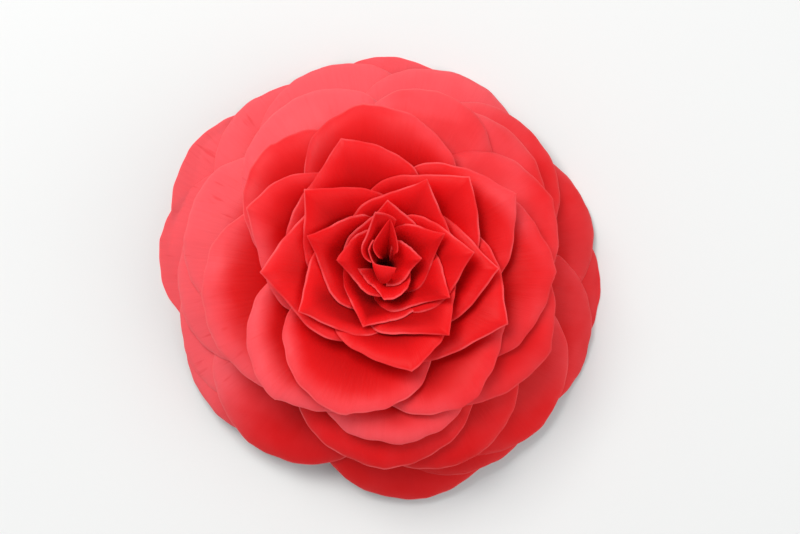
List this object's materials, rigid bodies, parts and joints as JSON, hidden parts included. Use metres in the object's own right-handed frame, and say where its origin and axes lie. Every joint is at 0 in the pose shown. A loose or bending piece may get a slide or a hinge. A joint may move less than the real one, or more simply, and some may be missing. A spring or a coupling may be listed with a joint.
{
  "type": "camellia flower",
  "caption": "Fully double camellia bloom with overlapping pointed inner and rounded outer petals round a closed heart, on a small scaly calyx, laid face up.",
  "frame": {"origin": "middle of the calyx's flat underside, on which the bloom rests", "axes": "+Z along the bloom's axis, out of its face; +Y is the top of the bloom as it is pictured"},
  "size_m": [0.1018, 0.1019, 0.0376],
  "materials": {
    "petals": "soft satin petal skin, deep red inside and coral pink toward the margins",
    "calyx": "matt green scales with brown edges"
  },
  "bodies": {
    "root": {"corolla": "petals", "calyx": "calyx"}
  },
  "joints": []
}
